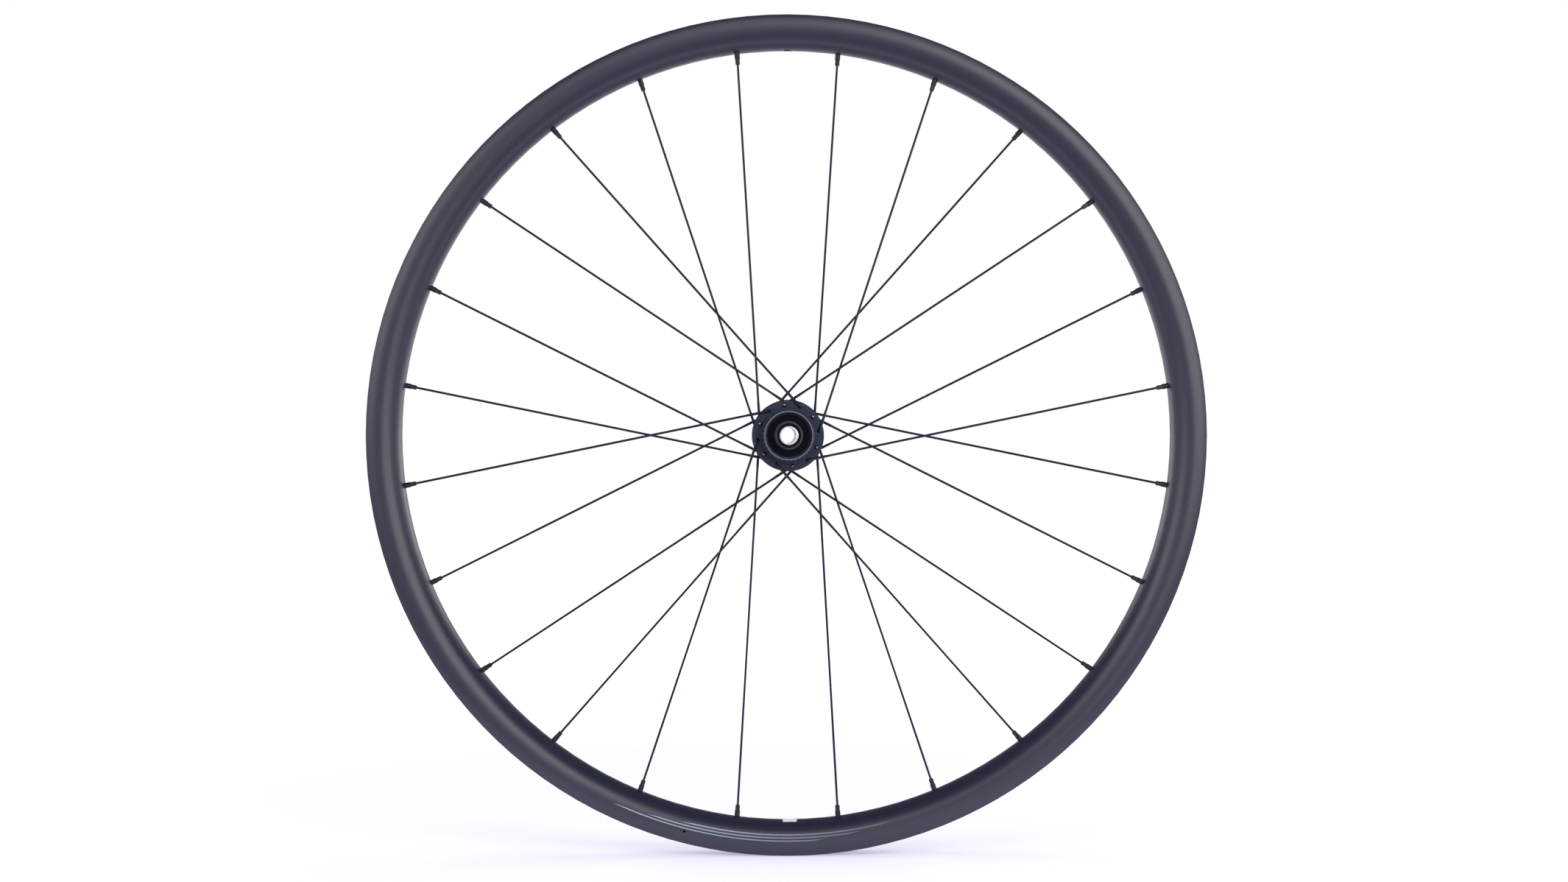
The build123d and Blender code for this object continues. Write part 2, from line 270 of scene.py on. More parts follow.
class StageLook(bpy.types.PropertyGroup):
    """Camera, floor and lamps."""
    camera_distance: bpy.props.FloatProperty(
        name="Camera Distance", description="Distance from the camera to the wheel's centre",
        unit="LENGTH", default=1.9)
    camera_yaw: bpy.props.FloatProperty(
        name="Camera Yaw", description="Angle that the camera stands to the left of the axle",
        subtype="ANGLE", default=radians(1.3))
    camera_pitch: bpy.props.FloatProperty(
        name="Camera Pitch", description="Angle that the camera stands above the axle",
        subtype="ANGLE", default=radians(0.3))
    aim_right: bpy.props.FloatProperty(
        name="Aim Right",
        description="Distance that the camera aims to the right of the wheel's centre",
        unit="LENGTH", default=-2.65 * MM)
    aim_down: bpy.props.FloatProperty(
        name="Aim Down", description="Distance that the camera aims below the wheel's centre",
        unit="LENGTH", default=4.21 * MM)
    lens: bpy.props.FloatProperty(
        name="Lens", description="Focal length for a 36 mm wide sensor",
        unit="CAMERA", default=57.61)
    floor: bpy.props.FloatVectorProperty(
        name="Floor", description="Colour of the floor",
        subtype="COLOR", min=0, max=1, default=linear("#e9e8f0"))
    floor_dim: bpy.props.FloatVectorProperty(
        name="Dim Floor", description="Colour of the floor that the rim mirrors far in front",
        subtype="COLOR", min=0, max=1, default=linear("#55555c"))
    # Painted shadow tint: this lilac shows where the wheel's shadow falls on the floor
    glow_near: bpy.props.FloatVectorProperty(
        name="Near Glow", description="Colour of the floor's glow near the wheel",
        subtype="COLOR", min=0, max=1, default=linear("#ebe7ff"))
    glow_far: bpy.props.FloatVectorProperty(
        name="Far Glow", description="Colour of the floor's glow far from the wheel",
        subtype="COLOR", min=0, max=1, default=linear("#fbfaff"))
    key_power: bpy.props.FloatProperty(
        name="Key Lamp", description="Power of the lamp at the right", unit="POWER", default=18)
    fill_power: bpy.props.FloatProperty(
        name="Fill Lamp", description="Power of the lamp at the left", unit="POWER", default=10.6)
    front_power: bpy.props.FloatProperty(
        name="Front Lamp", description="Power of the lamp above the camera",
        unit="POWER", default=11)
    right_edge_power: bpy.props.FloatProperty(
        name="Right Edge Lamp", description="Power of the lamp behind the wheel at the right",
        unit="POWER", default=16.2)
    left_edge_power: bpy.props.FloatProperty(
        name="Left Edge Lamp", description="Power of the lamp behind the wheel at the left",
        unit="POWER", default=11.8)
    top_power: bpy.props.FloatProperty(
        name="Top Lamp", description="Power of the lamp overhead", unit="POWER", default=12)


def new_material(name):
    """An empty node material with its shader, and the shader node."""
    material = bpy.data.materials.new(name)
    material.use_nodes = True
    return material, material.node_tree.nodes["Principled BSDF"]


def add_node(tree, kind, inputs=None, **settings):
    """Adds a node with its settings; each input is a value or another node's output."""
    node = tree.nodes.new(kind)
    for setting, value in settings.items():
        setattr(node, setting, value)
    for socket, value in (inputs or {}).items():
        if isinstance(value, bpy.types.NodeSocket):
            tree.links.new(value, node.inputs[socket])
        else:
            node.inputs[socket].default_value = value
    return node


def rgba(colour):
    """A colour property with full alpha."""
    return [*colour, 1.0]


def dress(node_names, material):
    """Gives CAD nodes one material."""
    for name in node_names:
        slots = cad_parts[name].data.materials
        slots.clear()
        slots.append(material)


def wheel_coordinates(tree):
    """Place on the wheel, its X, Y and Z, the place without Y, and the distance from the axle."""
    place = add_node(tree, "ShaderNodeTexCoord").outputs["Object"]
    axes = add_node(tree, "ShaderNodeSeparateXYZ", {0: place}).outputs
    flat = add_node(tree, "ShaderNodeCombineXYZ", {
        "X": axes["X"], "Z": axes["Z"]}).outputs[0]
    radius = add_node(tree, "ShaderNodeVectorMath", {
        0: flat}, operation="LENGTH").outputs["Value"]
    return place, axes, flat, radius


def seen_rays(tree):
    """Outputs of the light path, and 1 for rays from the camera, off mirrors and through glass."""
    path = add_node(tree, "ShaderNodeLightPath").outputs
    seen = add_node(tree, "ShaderNodeMath", {
        0: path["Is Camera Ray"], 1: path["Is Glossy Ray"]}, operation="MAXIMUM").outputs[0]
    seen = add_node(tree, "ShaderNodeMath", {
        0: seen, 1: path["Is Transmission Ray"]}, operation="MAXIMUM").outputs[0]
    return path, seen


def rim_side_normal(tree, axes, flat, radius):
    """Normal of the rim's two side arcs, worked out from the place, so that no facets show."""
    rise = add_node(tree, "ShaderNodeMath", {
        0: radius, 1: WIDEST_RADIUS}, operation="SUBTRACT").outputs[0]
    low = add_node(tree, "ShaderNodeMath", {0: rise, 1: BED_ARC}, operation="DIVIDE").outputs[0]
    high = add_node(tree, "ShaderNodeMath", {0: rise, 1: TIP_ARC}, operation="DIVIDE").outputs[0]
    lean = add_node(tree, "ShaderNodeMath", {0: low, 1: high}, operation="MINIMUM").outputs[0]
    steep = add_node(tree, "ShaderNodeMath", {0: lean}, operation="ARCSINE").outputs[0]
    level = add_node(tree, "ShaderNodeMath", {0: steep}, operation="COSINE").outputs[0]
    side = add_node(tree, "ShaderNodeMath", {0: axes["Y"]}, operation="SIGN").outputs[0]
    across = add_node(tree, "ShaderNodeMath", {
        0: level, 1: side}, operation="MULTIPLY").outputs[0]
    sideways = add_node(tree, "ShaderNodeCombineXYZ", {"Y": across}).outputs[0]
    outward = add_node(tree, "ShaderNodeVectorMath", {0: flat}, operation="NORMALIZE").outputs[0]
    outward = add_node(tree, "ShaderNodeVectorMath", {
        0: outward, "Scale": lean}, operation="SCALE").outputs[0]
    smooth = add_node(tree, "ShaderNodeVectorMath", {
        0: outward, 1: sideways}, operation="ADD").outputs[0]
    smooth = add_node(tree, "ShaderNodeVectorTransform", {
        0: smooth}, vector_type="NORMAL", convert_from="OBJECT", convert_to="WORLD").outputs[0]

    # Only between the bed's edge and the tip, and where the surface faces away from the channel
    meshed = add_node(tree, "ShaderNodeNewGeometry").outputs["Normal"]
    facing = add_node(tree, "ShaderNodeVectorMath", {
        0: meshed, 1: smooth}, operation="DOT_PRODUCT").outputs["Value"]
    mask = 1.0
    for value, limit, test in (
            (facing, SIDE_FACING, "GREATER_THAN"),
            (radius, BED_EDGE_RADIUS, "GREATER_THAN"),
            (radius, TIP_EDGE_RADIUS, "LESS_THAN")):
        within = add_node(tree, "ShaderNodeMath", {0: value, 1: limit}, operation=test).outputs[0]
        mask = add_node(tree, "ShaderNodeMath", {
            0: mask, 1: within}, operation="MULTIPLY").outputs[0]
    return add_node(tree, "ShaderNodeMix", {
        0: mask, 4: meshed, 5: smooth}, data_type="VECTOR").outputs[1]


def pin_lines(tree, axes, radius, angle, look):
    """Mask of the pin lines near the bottom of the rotor side, fading towards the right."""
    rise = add_node(tree, "ShaderNodeMath", {
        0: radius, 1: look.line_radius}, operation="SUBTRACT").outputs[0]
    saw = add_node(tree, "ShaderNodeMath", {
        0: rise, 1: look.line_pitch / 2}, operation="PINGPONG").outputs[0]
    line = add_node(tree, "ShaderNodeMath", {
        0: saw, 1: look.line_width / 2}, operation="LESS_THAN").outputs[0]
    above = add_node(tree, "ShaderNodeMath", {
        0: rise, 1: -look.line_pitch / 2}, operation="GREATER_THAN").outputs[0]
    below = add_node(tree, "ShaderNodeMath", {
        0: rise, 1: (PIN_LINES - 0.5) * look.line_pitch}, operation="LESS_THAN").outputs[0]
    near_side = add_node(tree, "ShaderNodeMath", {
        0: axes["Y"], 1: RIM_LOW.y / 2}, operation="LESS_THAN").outputs[0]
    slant = add_node(tree, "ShaderNodeMath", {
        0: rise, 1: PIN_LINE_LEAN, 2: angle}, operation="MULTIPLY_ADD").outputs[0]
    within = add_node(tree, "ShaderNodeMath", {
        0: slant, 1: 0.0, 2: look.line_reach}, operation="COMPARE").outputs[0]
    mask = add_node(tree, "ShaderNodeMapRange", {
        "Value": angle, "From Min": -look.line_reach, "From Max": look.line_reach,
        "To Min": 1.0, "To Max": 0.2}).outputs[0]
    for part in (line, above, below, near_side, within):
        mask = add_node(tree, "ShaderNodeMath", {
            0: mask, 1: part}, operation="MULTIPLY").outputs[0]
    return mask


def carbon_laminate(look):
    """Unidirectional carbon laminate under satin lacquer.

    A dark blue-grey with soft, wide highlights and faint bundles that run round the rim,
    and pin lines printed under the lacquer.
    """
    material, shader = new_material("satin_carbon_laminate")
    tree = material.node_tree
    place, axes, flat, radius = wheel_coordinates(tree)
    # The angle is nought at the bottom of the wheel and grows towards the right
    down = add_node(tree, "ShaderNodeMath", {
        0: axes["Z"], 1: -1.0}, operation="MULTIPLY").outputs[0]
    angle = add_node(tree, "ShaderNodeMath", {
        0: axes["X"], 1: down}, operation="ARCTAN2").outputs[0]
    along = add_node(tree, "ShaderNodeMath", {
        0: angle, 1: RIM_RADIUS / BUNDLE_STRETCH}, operation="MULTIPLY").outputs[0]
    unrolled = add_node(tree, "ShaderNodeCombineXYZ", {
        "X": along, "Y": axes["Y"], "Z": radius}).outputs[0]
    bundles = add_node(tree, "ShaderNodeTexNoise", {
        "Vector": unrolled, "Scale": 1 / look.fibre_width,
        "Detail": 3.0, "Roughness": 0.6}).outputs[0]
    grain = add_node(tree, "ShaderNodeTexNoise", {
        "Vector": place, "Scale": 1 / LACQUER_GRAIN, "Detail": 2.0}).outputs[0]
    body = add_node(tree, "ShaderNodeMix", {
        0: bundles, 6: rgba(look.laminate_dark), 7: rgba(look.laminate)},
        data_type="RGBA").outputs[2]
    colour = add_node(tree, "ShaderNodeMix", {
        0: pin_lines(tree, axes, radius, angle, look),
        6: body, 7: rgba(look.line_colour)}, data_type="RGBA").outputs[2]
    polish = add_node(tree, "ShaderNodeMapRange", {
        "Value": grain, "To Min": look.roughness - ROUGHNESS_SPREAD,
        "To Max": look.roughness + ROUGHNESS_SPREAD}).outputs[0]
    peel = add_node(tree, "ShaderNodeBump", {
        "Height": grain, "Strength": 0.05, "Distance": LACQUER_PEEL,
        "Normal": rim_side_normal(tree, axes, flat, radius)}).outputs[0]
    tree.links.new(colour, shader.inputs["Base Color"])
    tree.links.new(polish, shader.inputs["Roughness"])
    tree.links.new(peel, shader.inputs["Normal"])
    shader.inputs["IOR"].default_value = LACQUER_IOR
    return material


def label_paper(look):
    """Coated paper: matt white with a faint mottle."""
    material, shader = new_material("coated_label_paper")
    tree = material.node_tree
    place = add_node(tree, "ShaderNodeTexCoord").outputs["Object"]
    mottle = add_node(tree, "ShaderNodeTexNoise", {
        "Vector": place, "Scale": 1 / LABEL_MOTTLE, "Detail": 3.0}).outputs[0]
    shade = add_node(tree, "ShaderNodeMapRange", {
        "Value": mottle, "To Min": 0.94, "To Max": 1.0}).outputs[0]
    colour = add_node(tree, "ShaderNodeMix", {
        0: shade, 6: rgba(look.label_shade), 7: rgba(look.label_colour)},
        data_type="RGBA").outputs[2]
    tree.links.new(colour, shader.inputs["Base Color"])
    shader.inputs["Roughness"].default_value = 0.55
    return material


def blackened_wire(name, look, painted_head_highlight=False):
    """Drawn stainless wire with a black oxide: dark, with a thin metallic glint along it.

    Heads outside the flanges carry a painted highlight: their tips turn light and metallic.
    """
    material, shader = new_material(name)
    tree = material.node_tree
    place = add_node(tree, "ShaderNodeTexCoord").outputs["Object"]
    blotch = add_node(tree, "ShaderNodeTexNoise", {
        "Vector": place, "Scale": 1 / WIRE_BLOTCH, "Detail": 4.0}).outputs[0]
    shade = add_node(tree, "ShaderNodeMapRange", {
        "Value": blotch, "To Min": 0.75, "To Max": 1.15}).outputs[0]
    colour = add_node(tree, "ShaderNodeVectorMath", {
        0: list(look.spoke), "Scale": shade}, operation="SCALE").outputs[0]
    polish = add_node(tree, "ShaderNodeMapRange", {
        "Value": blotch, "To Min": 0.3, "To Max": 0.45}).outputs[0]
    # Painted highlight: the tips of the outer heads turn light and metallic, in place of the glint
    # on their domes
    if painted_head_highlight:
        axes = add_node(tree, "ShaderNodeSeparateXYZ", {0: place}).outputs
        across = add_node(tree, "ShaderNodeMath", {
            0: axes["Y"], 1: FLANGE_MIDDLE}, operation="SUBTRACT").outputs[0]
        across = add_node(tree, "ShaderNodeMath", {0: across}, operation="ABSOLUTE").outputs[0]
        highlit = add_node(tree, "ShaderNodeMapRange", {
            "Value": across, "From Min": HEAD_BLACK, "From Max": HEAD_FULL_HIGHLIGHT}).outputs[0]
        colour = add_node(tree, "ShaderNodeMix", {
            0: highlit, 6: colour, 7: rgba(look.head)}, data_type="RGBA").outputs[2]
        metal = add_node(tree, "ShaderNodeMapRange", {
            "Value": highlit, "To Min": WIRE_METALLIC, "To Max": 1.0}).outputs[0]
        tree.links.new(metal, shader.inputs["Metallic"])
    else:
        shader.inputs["Metallic"].default_value = WIRE_METALLIC
    shader.inputs["Specular IOR Level"].default_value = WIRE_SPECULAR
    tree.links.new(colour, shader.inputs["Base Color"])
    tree.links.new(polish, shader.inputs["Roughness"])
    return material


def collar_lip_highlight(tree, axes, radius):
    """Share of painted highlight on the lip at the rotor collar's end."""
    end = add_node(tree, "ShaderNodeMapRange", {
        "Value": axes["Y"], "From Min": COLLAR_END, "From Max": COLLAR_END + COLLAR_HIGHLIGHT_DEPTH,
        "To Min": LIP_HIGHLIGHT, "To Max": 0.0}).outputs[0]
    lip = add_node(tree, "ShaderNodeMapRange", {
        "Value": radius, "From Min": LIP_RADIUS, "From Max": LIP_EDGE_RADIUS,
        "To Min": 1.0, "To Max": 0.0}).outputs[0]
    return add_node(tree, "ShaderNodeMath", {0: end, 1: lip}, operation="MULTIPLY").outputs[0]


def cap_ring_highlight(tree, radius):
    """Share of painted highlight along a ring on an end cap's face."""
    off = add_node(tree, "ShaderNodeMath", {
        0: radius, 1: CAP_RING_RADIUS}, operation="SUBTRACT").outputs[0]
    gap = add_node(tree, "ShaderNodeMath", {0: off}, operation="ABSOLUTE").outputs[0]
    return add_node(tree, "ShaderNodeMapRange", {
        "Value": gap, "From Min": CAP_RING_CORE, "From Max": CAP_RING_EDGE,
        "To Min": CAP_RING_HIGHLIGHT, "To Max": 0.0}).outputs[0]


def cap_bore(tree, axes, radius):
    """1 in an end cap's bore and on the inner end of its plug, which are uncoated metal."""
    mouth = add_node(tree, "ShaderNodeMath", {
        0: radius, 1: CAP_MOUTH_RADIUS}, operation="LESS_THAN").outputs[0]
    depth = add_node(tree, "ShaderNodeMath", {0: axes["Y"]}, operation="ABSOLUTE").outputs[0]
    plug = add_node(tree, "ShaderNodeMath", {
        0: depth, 1: CAP_PLUG_END}, operation="LESS_THAN").outputs[0]
    return add_node(tree, "ShaderNodeMath", {0: mouth, 1: plug}, operation="MAXIMUM").outputs[0]


def anodised(name, colour, look, metallic=ANODISED_METALLIC, highlight_and_bare_on=None):
    """Black anodised aluminium, turned: fine rings and a dull metal sheen.

    A painted highlight in the colour of uncoated metal lies on the lip of a collar and along a ring
    on a cap's face; a cap's bore is uncoated metal.
    The rings are drawn coarser than real turning marks, so that they show.
    """
    material, shader = new_material(name)
    tree = material.node_tree
    place, axes, _, radius = wheel_coordinates(tree)
    reach = add_node(tree, "ShaderNodeMath", {
        0: radius, 1: axes["Y"]}, operation="ADD").outputs[0]
    turns = add_node(tree, "ShaderNodeMath", {
        0: reach, 1: look.turning_pitch / 2}, operation="PINGPONG").outputs[0]
    marks = add_node(tree, "ShaderNodeMapRange", {
        "Value": turns, "From Max": look.turning_pitch / 2}).outputs[0]
    dust = add_node(tree, "ShaderNodeTexNoise", {
        "Vector": place, "Scale": 1 / ANODISED_DUST, "Detail": 5.0}).outputs[0]
    shade = add_node(tree, "ShaderNodeMapRange", {
        "Value": dust, "To Min": 0.8, "To Max": 1.2}).outputs[0]
    tone = add_node(tree, "ShaderNodeVectorMath", {
        0: list(colour), "Scale": shade}, operation="SCALE").outputs[0]
    polish = add_node(tree, "ShaderNodeMapRange", {
        "Value": marks, "To Min": 0.36, "To Max": 0.46}).outputs[0]
    bump = add_node(tree, "ShaderNodeBump", {
        "Height": marks, "Strength": 0.12, "Distance": TURNING_DEPTH}).outputs[0]
    bare_and_highlight = None
    # Painted highlight on a collar's lip; on a cap, a painted highlight along a ring on the face,
    # and real uncoated metal in the bore
    if highlight_and_bare_on == "collar":
        bare_and_highlight = collar_lip_highlight(tree, axes, radius)
    if highlight_and_bare_on == "cap":
        bored = cap_bore(tree, axes, radius)
        bare_and_highlight = add_node(tree, "ShaderNodeMath", {
            0: cap_ring_highlight(tree, radius), 1: bored}, operation="MAXIMUM").outputs[0]
        polish = add_node(tree, "ShaderNodeMix", {
            0: bored, 2: polish, 3: BORE_ROUGHNESS}).outputs[0]
    if bare_and_highlight is None:
        shader.inputs["Metallic"].default_value = metallic
    else:
        tone = add_node(tree, "ShaderNodeMix", {
            0: bare_and_highlight, 6: tone, 7: rgba(look.bare_and_highlight)}, data_type="RGBA").outputs[2]
        metal = add_node(tree, "ShaderNodeMapRange", {
            "Value": bare_and_highlight, "To Min": metallic, "To Max": 1.0}).outputs[0]
        tree.links.new(metal, shader.inputs["Metallic"])
    tree.links.new(tone, shader.inputs["Base Color"])
    tree.links.new(polish, shader.inputs["Roughness"])
    tree.links.new(bump, shader.inputs["Normal"])
    return material


def sealed_bearing(look):
    """Cartridge bearing: a ground steel ring round a black rubber seal."""
    material, shader = new_material("steel_ring_with_rubber_seal")
    tree = material.node_tree
    place, _, _, radius = wheel_coordinates(tree)
    ring = add_node(tree, "ShaderNodeMath", {
        0: radius, 1: SEAL_RADIUS}, operation="GREATER_THAN").outputs[0]
    grit = add_node(tree, "ShaderNodeTexNoise", {
        "Vector": place, "Scale": 1 / BEARING_GRIT, "Detail": 3.0}).outputs[0]
    colour = add_node(tree, "ShaderNodeMix", {
        0: ring, 6: rgba(look.seal), 7: rgba(look.steel)}, data_type="RGBA").outputs[2]
    smooth = add_node(tree, "ShaderNodeMapRange", {
        "Value": grit, "To Min": 0.2, "To Max": 0.35}).outputs[0]
    dull = add_node(tree, "ShaderNodeMapRange", {
        "Value": grit, "To Min": 0.5, "To Max": 0.7}).outputs[0]
    polish = add_node(tree, "ShaderNodeMix", {0: ring, 2: dull, 3: smooth}).outputs[0]
    tree.links.new(colour, shader.inputs["Base Color"])
    tree.links.new(polish, shader.inputs["Roughness"])
    tree.links.new(ring, shader.inputs["Metallic"])
    shader.inputs["Specular IOR Level"].default_value = SEAL_SPECULAR
    return material


def turned_metal(name, colour):
    """Bare turned metal: bright, with fine rings along the axle, drawn coarse enough to show."""
    material, shader = new_material(name)
    tree = material.node_tree
    place = add_node(tree, "ShaderNodeTexCoord").outputs["Object"]
    axes = add_node(tree, "ShaderNodeSeparateXYZ", {0: place}).outputs
    turns = add_node(tree, "ShaderNodeMath", {
        0: axes["Y"], 1: AXLE_TURNING_PITCH / 2}, operation="PINGPONG").outputs[0]
    marks = add_node(tree, "ShaderNodeMapRange", {
        "Value": turns, "From Max": AXLE_TURNING_PITCH / 2}).outputs[0]
    haze = add_node(tree, "ShaderNodeTexNoise", {
        "Vector": place, "Scale": 1 / AXLE_HAZE, "Detail": 4.0}).outputs[0]
    shade = add_node(tree, "ShaderNodeMapRange", {
        "Value": haze, "To Min": 0.85, "To Max": 1.05}).outputs[0]
    tone = add_node(tree, "ShaderNodeVectorMath", {
        0: list(colour), "Scale": shade}, operation="SCALE").outputs[0]
    polish = add_node(tree, "ShaderNodeMapRange", {
        "Value": marks, "To Min": 0.25, "To Max": 0.4}).outputs[0]
    tree.links.new(tone, shader.inputs["Base Color"])
    tree.links.new(polish, shader.inputs["Roughness"])
    shader.inputs["Metallic"].default_value = 1.0
    return material


def apply_modifiers(piece):
    """Applies every modifier of the active piece in order."""
    for modifier in list(piece.modifiers):
        bpy.ops.object.modifier_apply(modifier=modifier.name)


class WHEEL_OT_rim(bpy.types.Operator):
    """Finish the rim"""
    bl_idname = "wheel.rim"
    bl_label = "Rim"

    def execute(self, context):
        dress(["rim"], carbon_laminate(context.scene.wheel_rim))
        return {"FINISHED"}


class WHEEL_OT_label(bpy.types.Operator):
    """Add the blank label on the spoke bed at the bottom of the wheel"""
    bl_idname = "wheel.label"
    bl_label = "Label"

    def execute(self, context):
        look = context.scene.wheel_rim
        bpy.ops.object.select_all(action="DESELECT")
        over_bed = Vector((look.label_shift, look.label_offset, -RIM_RADIUS + LABEL_DROP))
        bpy.ops.mesh.primitive_grid_add(
            x_subdivisions=LABEL_CELLS, y_subdivisions=LABEL_CELLS, size=1, location=over_bed)
        label = context.object
        label.name = "bed_label"
        label.scale = (look.label_width, look.label_length, 1)
        bpy.ops.object.transform_apply(location=True, rotation=True, scale=True)
        wrap = label.modifiers.new("lay_on_bed", "SHRINKWRAP")
        wrap.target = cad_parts["rim"]
        wrap.wrap_method = "PROJECT"
        wrap.use_project_z = True
        wrap.use_negative_direction = True
        wrap.use_positive_direction = False
        wrap.offset = look.label_thickness / 4
        wall = label.modifiers.new("thickness", "SOLIDIFY")
        wall.thickness = look.label_thickness
        wall.offset = 1
        apply_modifiers(label)
        bpy.ops.object.shade_smooth_by_angle(angle=LABEL_CREASE)
        label.data.materials.append(label_paper(look))
        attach(label, "wheel")
        return {"FINISHED"}


class WHEEL_OT_spokes(bpy.types.Operator):
    """Finish the spokes"""
    bl_idname = "wheel.spokes"
    bl_label = "Spokes"

    def execute(self, context):
        look = context.scene.wheel_metal
        # Names run in fours round the flanges: two spokes with heads inside, two with heads outside
        inner_heads = [name for i, name in enumerate(SPOKES) if i % 4 < 2]
        outer_heads = [name for i, name in enumerate(SPOKES) if i % 4 > 1]
        dress(inner_heads, blackened_wire("black_oxide_spoke_wire", look))
        dress(outer_heads, blackened_wire("black_oxide_wire_bare_head", look, painted_head_highlight=True))
        return {"FINISHED"}


class WHEEL_OT_nipples(bpy.types.Operator):
    """Finish the nipples"""
    bl_idname = "wheel.nipples"
    bl_label = "Nipples"

    def execute(self, context):
        look = context.scene.wheel_metal
        dress(["spoke_nipples"], anodised("black_anodised_nipple", look.nipple, look))
        return {"FINISHED"}


class WHEEL_OT_hub(bpy.types.Operator):
    """Finish the hub shell"""
    bl_idname = "wheel.hub"
    bl_label = "Hub Shell"

    def execute(self, context):
        look = context.scene.wheel_metal
        shell = anodised("black_anodised_hub", look.shell, look, highlight_and_bare_on="collar")
        dress(["hub_shell"], shell)
        return {"FINISHED"}


class WHEEL_OT_bearings(bpy.types.Operator):
    """Finish the bearings"""
    bl_idname = "wheel.bearings"
    bl_label = "Bearings"

    def execute(self, context):
        look = context.scene.wheel_metal
        dress(["bearing_left_outer", "bearing_right_outer"], sealed_bearing(look))
        # Painted shade: the inner rings take the dark steel colour of bearings sitting in shade
        inner_ring = turned_metal("ground_bearing_steel", look.steel)
        dress(["bearing_left_inner", "bearing_right_inner"], inner_ring)
        return {"FINISHED"}


class WHEEL_OT_axle(bpy.types.Operator):
    """Finish the axle tube and the end caps"""
    bl_idname = "wheel.axle"
    bl_label = "Axle"

    def execute(self, context):
        look = context.scene.wheel_metal
        dress(["axle_tube"], turned_metal("bare_turned_aluminium", look.axle))
        caps = anodised(
            "black_anodised_cap", look.cap, look, metallic=CAP_METALLIC, highlight_and_bare_on="cap")
        dress(["end_cap_left", "end_cap_right"], caps)
        return {"FINISHED"}


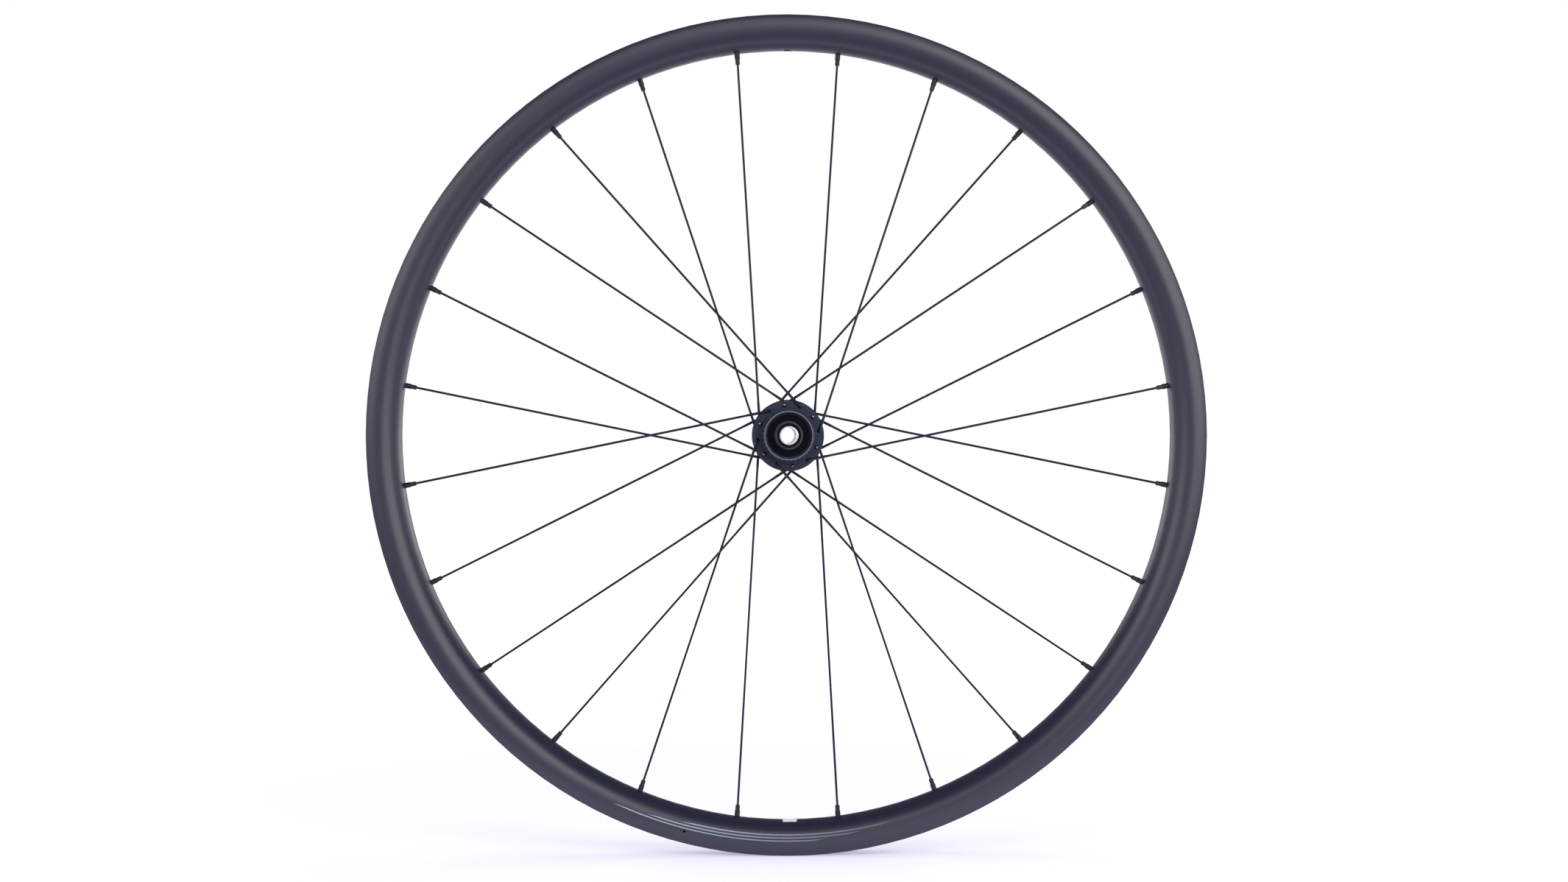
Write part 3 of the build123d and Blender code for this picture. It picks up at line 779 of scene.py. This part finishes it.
class WHEEL_OT_stage(bpy.types.Operator):
    """Add the floor, lamps, background and camera"""
    bl_idname = "wheel.stage"
    bl_label = "Stage"

    def execute(self, context):
        look = context.scene.wheel_stage
        self.add_floor(context, look)
        self.light_background(context)
        for name, (size, place) in LAMPS.items():
            power = getattr(look, f"{name}_power")
            lamp = self.add_lamp(context, name, power, size, Vector(place))
            # The lamp overhead lights the floor and isn't mirrored
            lamp.visible_glossy = name != "top"
        self.add_camera(context, look)
        context.scene.view_settings.view_transform = "Standard"
        return {"FINISHED"}

    def add_floor(self, context, look):
        """White paper that glows plainly to the camera, and shows the wheel's mirror rays a painted
        reflection: dimmed far in front and brighter close in front.
        """
        bpy.ops.object.select_all(action="DESELECT")
        bpy.ops.mesh.primitive_circle_add(
            vertices=FLOOR_SIDES, radius=FLOOR_RADIUS, fill_type="NGON",
            location=(0, 0, cad_box[0][2]))
        floor = context.object
        floor.name = "floor"
        material, shader = new_material("white_floor_paper")
        tree = material.node_tree
        shader.inputs["Roughness"].default_value = FLOOR_ROUGHNESS
        place = add_node(tree, "ShaderNodeTexCoord").outputs["Object"]
        axes = add_node(tree, "ShaderNodeSeparateXYZ", {0: place}).outputs
        path, seen = seen_rays(tree)
        # Painted reflection: for mirror rays the floor is dimmed far in front of the wheel and
        # glows brighter than white in a strip close in front
        sheet = add_node(tree, "ShaderNodeMapRange", {
            "Value": axes["Y"], "From Min": SHEET_DIM_Y, "From Max": SHEET_FULL_Y,
            "To Min": SHEET_DIM}).outputs[0]
        strip = add_node(tree, "ShaderNodeMapRange", {
            "Value": axes["Y"], "From Min": -STRIP_EDGE, "From Max": STRIP_EDGE,
            "To Min": STRIP_BRIGHT, "To Max": 1.0}).outputs[0]
        sheet = add_node(tree, "ShaderNodeMath", {
            0: sheet, 1: strip}, operation="MULTIPLY").outputs[0]
        sheet = add_node(tree, "ShaderNodeMix", {
            0: path["Is Camera Ray"], 2: sheet, 3: 1.0}).outputs[0]
        away = add_node(tree, "ShaderNodeVectorMath", {
            0: place}, operation="LENGTH").outputs["Value"]
        far = add_node(tree, "ShaderNodeMapRange", {
            "Value": away, "From Min": GLOW_NEAR_DISTANCE,
            "From Max": GLOW_FAR_DISTANCE}).outputs[0]
        white = add_node(tree, "ShaderNodeMapRange", {
            "Value": far, "To Min": GLOW_NEAR, "To Max": 1.0}).outputs[0]
        # Painted shadow tint: the lilac glow near the wheel shows only where the wheel's shadow
        # falls, and gives it its colour
        tint = add_node(tree, "ShaderNodeMix", {
            0: far, 6: rgba(look.glow_near), 7: rgba(look.glow_far)},
            data_type="RGBA").outputs[2]
        glow = add_node(tree, "ShaderNodeMath", {
            0: seen, 1: white}, operation="MULTIPLY").outputs[0]
        glow = add_node(tree, "ShaderNodeMath", {
            0: glow, 1: sheet}, operation="MULTIPLY").outputs[0]
        paper = add_node(tree, "ShaderNodeMix", {
            0: sheet, 6: rgba(look.floor_dim), 7: rgba(look.floor)},
            data_type="RGBA").outputs[2]
        tree.links.new(paper, shader.inputs["Base Color"])
        tree.links.new(glow, shader.inputs["Emission Strength"])
        tree.links.new(tint, shader.inputs["Emission Color"])
        floor.data.materials.append(material)

    def light_background(self, context):
        """White room with light walls and a darker ceiling."""
        world = bpy.data.worlds.new("studio")
        context.scene.world = world
        world.use_nodes = True
        tree = world.node_tree
        way = add_node(tree, "ShaderNodeTexCoord").outputs["Generated"]
        axes = add_node(tree, "ShaderNodeSeparateXYZ", {0: way}).outputs
        room = add_node(tree, "ShaderNodeMapRange", {
            "Value": axes["Z"], "From Min": WALL_LOW, "From Max": WALL_HIGH,
            "To Min": 1.0, "To Max": CEILING_LIGHT},
            interpolation_type="SMOOTHSTEP").outputs[0]
        _, seen = seen_rays(tree)
        plain = add_node(tree, "ShaderNodeMapRange", {
            "Value": seen, "To Min": ROOM_LIGHT, "To Max": 1.0}).outputs[0]
        strength = add_node(tree, "ShaderNodeMath", {
            0: room, 1: plain}, operation="MULTIPLY").outputs[0]
        tree.links.new(strength, tree.nodes["Background"].inputs["Strength"])
        tree.nodes["Background"].inputs["Color"].default_value = (1, 1, 1, 1)

    def add_lamp(self, context, name, power, size, place):
        """Flat lamp that faces the wheel's centre and is hidden from the camera."""
        lamp = bpy.data.lights.new(name, "AREA")
        lamp.energy = power
        lamp.shape = "RECTANGLE"
        lamp.size, lamp.size_y = size
        holder = bpy.data.objects.new(name, lamp)
        holder.location = place
        holder.rotation_euler = place.to_track_quat("Z", "Y").to_euler()
        holder.visible_camera = False
        context.scene.collection.objects.link(holder)
        return holder

    def add_camera(self, context, look):
        """Camera where the photo was taken."""
        lens = bpy.data.cameras.new("photo_view")
        lens.lens = look.lens
        lens.sensor_width = SENSOR_WIDTH
        camera = bpy.data.objects.new("photo_view", lens)
        turn = Euler((-look.camera_pitch, 0, -look.camera_yaw)).to_matrix()
        right, back, up = (turn @ Vector(way) for way in ((1, 0, 0), (0, -1, 0), (0, 0, 1)))
        camera.location = (
            back * look.camera_distance + right * look.aim_right - up * look.aim_down)
        camera.rotation_euler = back.to_track_quat("Z", "Y").to_euler()
        context.scene.collection.objects.link(camera)
        context.scene.camera = camera


class WHEEL_PT_panel(bpy.types.Panel):
    """The wheel's pieces, in the order in which they are made"""
    bl_label = "Bicycle Wheel"
    bl_space_type = "VIEW_3D"
    bl_region_type = "UI"
    bl_category = "Wheel"

    def draw(self, context):
        for operator in OPERATORS:
            self.layout.operator(operator.bl_idname)
        for group_name in GROUPS:
            group = getattr(context.scene, group_name)
            for name in group.__annotations__:
                self.layout.prop(group, name)


GROUPS = {"wheel_rim": RimFinish, "wheel_metal": MetalFinish, "wheel_stage": StageLook}
OPERATORS = (
    WHEEL_OT_rim, WHEEL_OT_label, WHEEL_OT_spokes, WHEEL_OT_nipples,
    WHEEL_OT_hub, WHEEL_OT_bearings, WHEEL_OT_axle, WHEEL_OT_stage,
)


def register():
    for name, group in GROUPS.items():
        bpy.utils.register_class(group)
        setattr(bpy.types.Scene, name, bpy.props.PointerProperty(type=group))
    for operator in OPERATORS:
        bpy.utils.register_class(operator)
    bpy.utils.register_class(WHEEL_PT_panel)


def unregister():
    bpy.utils.unregister_class(WHEEL_PT_panel)
    for operator in reversed(OPERATORS):
        bpy.utils.unregister_class(operator)
    for name, group in reversed(GROUPS.items()):
        delattr(bpy.types.Scene, name)
        bpy.utils.unregister_class(group)


def main():
    register()
    bpy.ops.wheel.rim()
    bpy.ops.wheel.label()
    bpy.ops.wheel.spokes()
    bpy.ops.wheel.nipples()
    bpy.ops.wheel.hub()
    bpy.ops.wheel.bearings()
    bpy.ops.wheel.axle()
    bpy.ops.wheel.stage()


if __name__ == "__main__":
    main()
